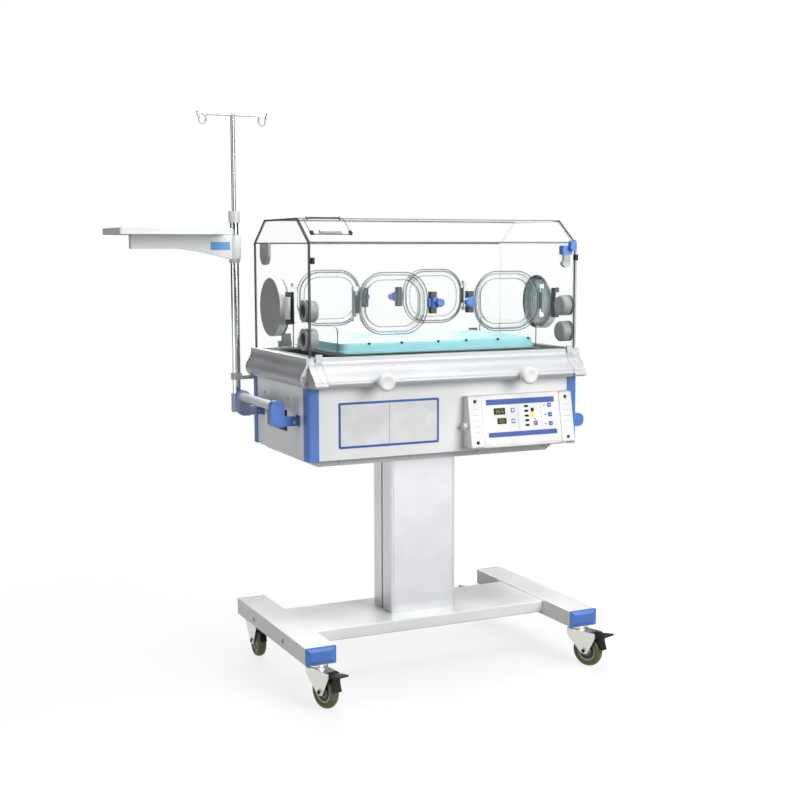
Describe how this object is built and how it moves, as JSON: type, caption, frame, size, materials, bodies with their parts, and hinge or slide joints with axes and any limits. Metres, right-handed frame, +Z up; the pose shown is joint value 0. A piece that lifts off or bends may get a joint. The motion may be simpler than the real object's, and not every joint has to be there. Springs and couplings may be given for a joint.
{
  "type": "infant incubator",
  "caption": "Ward incubator: clear tilting hood with hand ports over a mattress, heated cabinet, column and braked casters, with a pole and shelf.",
  "frame": {"origin": "the point of the floor under the middle of the column", "axes": "+Z up, -Y towards the front with the access panel, +X towards the control unit's end"},
  "size_m": [1.3825, 0.7318, 1.68],
  "materials": {
    "white_steel": "gloss white powder coat",
    "blue_plastic": "satin blue moulding",
    "zinc": "zinc plated pressed steel",
    "tyre": "olive polyurethane",
    "black_plastic": "black moulding",
    "aluminium": "satin anodised",
    "rail_silver": "silver metallic",
    "grey_steel": "satin grey",
    "white_plastic": "white moulding",
    "acrylic": "clear acrylic",
    "grey_rubber": "grey silicone",
    "grey_plastic": "grey moulding",
    "dark_plastic": "dark deck moulding",
    "mattress": "aqua coated fabric",
    "chrome": "polished stainless tube",
    "navy": "navy filter"
  },
  "bodies": {
    "base": {"base_frame": "white_steel", "end_caps": "blue_plastic", "caster_heads": "zinc", "column": "aluminium", "cabinet_shell": "white_steel", "air_filter": "navy", "floor_pan": "grey_steel", "corner_posts": "blue_plastic", "handle_lugs": "blue_plastic", "control_housing": "white_plastic", "control_covers": "white_plastic", "control_fascia": "white_plastic", "rails": "rail_silver", "rail_castings": "rail_silver", "deck": "dark_plastic", "pole_tube": "chrome", "pole_brackets": "grey_plastic", "fan_motor": "dark_plastic", "heater": "aluminium", "water_tank": "acrylic"},
    "access_panel": {"panel_arms": "rail_silver", "front_panel": "acrylic", "front_port_mounts": "grey_plastic"},
    "hood": {"hood_canopy": "acrylic", "hood_fittings": "grey_rubber", "rear_port_mounts": "grey_plastic"},
    "tray": {"mattress_tray": "acrylic", "mattress": "mattress"},
    "caster_fl": {"fork_fl": "zinc"},
    "wheel_fl": {"wheel_fl": "tyre"},
    "pedal_fl": {"pedal_fl": "black_plastic"},
    "caster_fr": {"fork_fr": "zinc"},
    "wheel_fr": {"wheel_fr": "tyre"},
    "pedal_fr": {"pedal_fr": "black_plastic"},
    "caster_rl": {"fork_rl": "zinc"},
    "wheel_rl": {"wheel_rl": "tyre"},
    "pedal_rl": {"pedal_rl": "black_plastic"},
    "caster_rr": {"fork_rr": "zinc"},
    "wheel_rr": {"wheel_rr": "tyre"},
    "pedal_rr": {"pedal_rr": "black_plastic"},
    "left_tilt_knob": {"left_tilt_knob": "white_plastic"},
    "left_end_door": {"left_end_door": "grey_plastic"},
    "front_left_door": {"front_left_door": "acrylic"},
    "rear_left_door": {"rear_left_door": "acrylic"},
    "front_left_latch": {"front_left_latch": "blue_plastic"},
    "rear_left_latch": {"rear_left_latch": "blue_plastic"},
    "left_handle": {"left_handle": "blue_plastic"},
    "right_tilt_knob": {"right_tilt_knob": "white_plastic"},
    "right_end_door": {"right_end_door": "grey_plastic"},
    "front_right_door": {"front_right_door": "acrylic"},
    "rear_right_door": {"rear_right_door": "acrylic"},
    "front_right_latch": {"front_right_latch": "blue_plastic"},
    "rear_right_latch": {"rear_right_latch": "blue_plastic"},
    "right_handle": {"right_handle": "blue_plastic"},
    "panel_latch": {"panel_latch": "blue_plastic"},
    "hatch": {"hatch": "acrylic"},
    "clamp_knob": {"clamp_knob": "white_plastic"},
    "fan_impeller": {"fan_impeller": "black_plastic"},
    "shelf": {"shelf": "white_plastic"},
    "iv_rod": {"iv_rod": "chrome"}
  },
  "joints": [
    {"name": "swivel_fl", "type": "hinge", "parent": "base", "child": "caster_fl", "pos_m": [-0.433, -0.2675, 0], "axis": [0, 0, 1], "continuous": true},
    {"name": "roll_fl", "type": "hinge", "parent": "caster_fl", "child": "wheel_fl", "pos_m": [-0.42381, -0.30437, 0.05], "axis": [0.9703, 0.2419, 0], "continuous": true},
    {"name": "brake_fl", "type": "hinge", "parent": "caster_fl", "child": "pedal_fl", "pos_m": [-0.41582, -0.33639, 0.103], "axis": [0.9703, 0.2419, 0], "range_deg": [0, 8]},
    {"name": "swivel_fr", "type": "hinge", "parent": "base", "child": "caster_fr", "pos_m": [0.433, -0.2675, 0], "axis": [0, 0, 1], "continuous": true},
    {"name": "roll_fr", "type": "hinge", "parent": "caster_fr", "child": "wheel_fr", "pos_m": [0.446, -0.30321, 0.05], "axis": [0.9397, 0.342, 0], "continuous": true},
    {"name": "brake_fr", "type": "hinge", "parent": "caster_fr", "child": "pedal_fr", "pos_m": [0.45728, -0.33422, 0.103], "axis": [0.9397, 0.342, 0], "range_deg": [0, 8]},
    {"name": "swivel_rl", "type": "hinge", "parent": "base", "child": "caster_rl", "pos_m": [-0.433, 0.2675, 0], "axis": [0, 0, 1], "continuous": true},
    {"name": "roll_rl", "type": "hinge", "parent": "caster_rl", "child": "wheel_rl", "pos_m": [-0.43499, 0.22955, 0.05], "axis": [0.9986, -0.0523, 0], "continuous": true},
    {"name": "brake_rl", "type": "hinge", "parent": "caster_rl", "child": "pedal_rl", "pos_m": [-0.43672, 0.1966, 0.103], "axis": [0.9986, -0.0523, 0], "range_deg": [0, 8]},
    {"name": "swivel_rr", "type": "hinge", "parent": "base", "child": "caster_rr", "pos_m": [0.433, 0.2675, 0], "axis": [0, 0, 1], "continuous": true},
    {"name": "roll_rr", "type": "hinge", "parent": "caster_rr", "child": "wheel_rr", "pos_m": [0.40009, 0.2865, 0.05], "axis": [-0.5, -0.866, 0], "continuous": true},
    {"name": "brake_rr", "type": "hinge", "parent": "caster_rr", "child": "pedal_rr", "pos_m": [0.37151, 0.303, 0.103], "axis": [-0.5, -0.866, 0], "range_deg": [0, 8]},
    {"name": "panel_drop", "type": "hinge", "parent": "base", "child": "access_panel", "pos_m": [0, -0.2795, 0.899], "axis": [1, 0, 0], "range_deg": [0, 90]},
    {"name": "hood_tilt", "type": "hinge", "parent": "base", "child": "hood", "pos_m": [0, 0.24, 0.984], "axis": [-1, 0, 0], "range_deg": [0, 50]},
    {"name": "mattress_tilt", "type": "hinge", "parent": "base", "child": "tray", "pos_m": [0, 0, 0.962], "axis": [0, 1, 0], "range_deg": [-6, 6]},
    {"name": "left_knob_turn", "type": "hinge", "parent": "base", "child": "left_tilt_knob", "pos_m": [-0.231, -0.2815, 0.904], "axis": [0, -1, 0], "range_deg": [-90, 90]},
    {"name": "left_end_door_swing", "type": "hinge", "parent": "hood", "child": "left_end_door", "pos_m": [-0.444, -0.099, 1.107], "axis": [0, 0, 1], "range_deg": [0, 100]},
    {"name": "front_left_door_swing", "type": "hinge", "parent": "access_panel", "child": "front_left_door", "pos_m": [-0.298, -0.2424, 1.121], "axis": [0, 0, -1], "range_deg": [0, 110]},
    {"name": "rear_left_door_swing", "type": "hinge", "parent": "hood", "child": "rear_left_door", "pos_m": [-0.298, 0.2349, 1.121], "axis": [0, 0, 1], "range_deg": [0, 110]},
    {"name": "front_left_latch_press", "type": "hinge", "parent": "access_panel", "child": "front_left_latch", "pos_m": [-0.06, -0.2455, 1.121], "axis": [0, 0, 1], "range_deg": [0, 8], "stiffness_Nm_per_rad": 0.5},
    {"name": "rear_left_latch_press", "type": "hinge", "parent": "hood", "child": "rear_left_latch", "pos_m": [-0.06, 0.238, 1.121], "axis": [0, 0, -1], "range_deg": [0, 8], "stiffness_Nm_per_rad": 0.5},
    {"name": "left_handle_fold", "type": "hinge", "parent": "base", "child": "left_handle", "pos_m": [-0.4525, 0, 0.791], "axis": [0, -1, 0], "range_deg": [0, 90]},
    {"name": "right_knob_turn", "type": "hinge", "parent": "base", "child": "right_tilt_knob", "pos_m": [0.231, -0.2815, 0.904], "axis": [0, -1, 0], "range_deg": [-90, 90]},
    {"name": "right_end_door_swing", "type": "hinge", "parent": "hood", "child": "right_end_door", "pos_m": [0.444, -0.099, 1.107], "axis": [0, 0, -1], "range_deg": [0, 100]},
    {"name": "front_right_door_swing", "type": "hinge", "parent": "access_panel", "child": "front_right_door", "pos_m": [0.298, -0.2424, 1.121], "axis": [0, 0, 1], "range_deg": [0, 110]},
    {"name": "rear_right_door_swing", "type": "hinge", "parent": "hood", "child": "rear_right_door", "pos_m": [0.298, 0.2349, 1.121], "axis": [0, 0, -1], "range_deg": [0, 110]},
    {"name": "front_right_latch_press", "type": "hinge", "parent": "access_panel", "child": "front_right_latch", "pos_m": [0.06, -0.2455, 1.121], "axis": [0, 0, -1], "range_deg": [0, 8], "stiffness_Nm_per_rad": 0.5},
    {"name": "rear_right_latch_press", "type": "hinge", "parent": "hood", "child": "rear_right_latch", "pos_m": [0.06, 0.238, 1.121], "axis": [0, 0, 1], "range_deg": [0, 8], "stiffness_Nm_per_rad": 0.5},
    {"name": "right_handle_fold", "type": "hinge", "parent": "base", "child": "right_handle", "pos_m": [0.4525, 0, 0.791], "axis": [0, -1, 0], "range_deg": [0, 90]},
    {"name": "panel_latch_turn", "type": "hinge", "parent": "access_panel", "child": "panel_latch", "pos_m": [0.388, -0.2335, 1.23], "axis": [0, -1, 0], "range_deg": [0, 90]},
    {"name": "hatch_lift", "type": "hinge", "parent": "hood", "child": "hatch", "pos_m": [0, -0.14094, 1.36043], "axis": [-1, 0, 0], "range_deg": [0, 100]},
    {"name": "clamp_knob_turn", "type": "hinge", "parent": "base", "child": "clamp_knob", "pos_m": [0.05, -0.2495, 0.759], "axis": [1, 0, 0], "continuous": true},
    {"name": "fan_spin", "type": "hinge", "parent": "base", "child": "fan_impeller", "pos_m": [0.04, 0, 0.836], "axis": [0, 0, 1], "continuous": true},
    {"name": "shelf_swing", "type": "hinge", "parent": "base", "child": "shelf", "pos_m": [-0.496, 0.219, 1.335], "axis": [0, 0, -1], "range_deg": [-32, 32]},
    {"name": "rod_height", "type": "slide", "parent": "base", "child": "iv_rod", "axis": [0, 0, 1], "range_m": [-0.2, 0.1]}
  ],
  "couplings": [
    {"joint": "left_knob_turn", "follows": "mattress_tilt", "ratio": 15},
    {"joint": "right_knob_turn", "follows": "mattress_tilt", "ratio": -15}
  ]
}
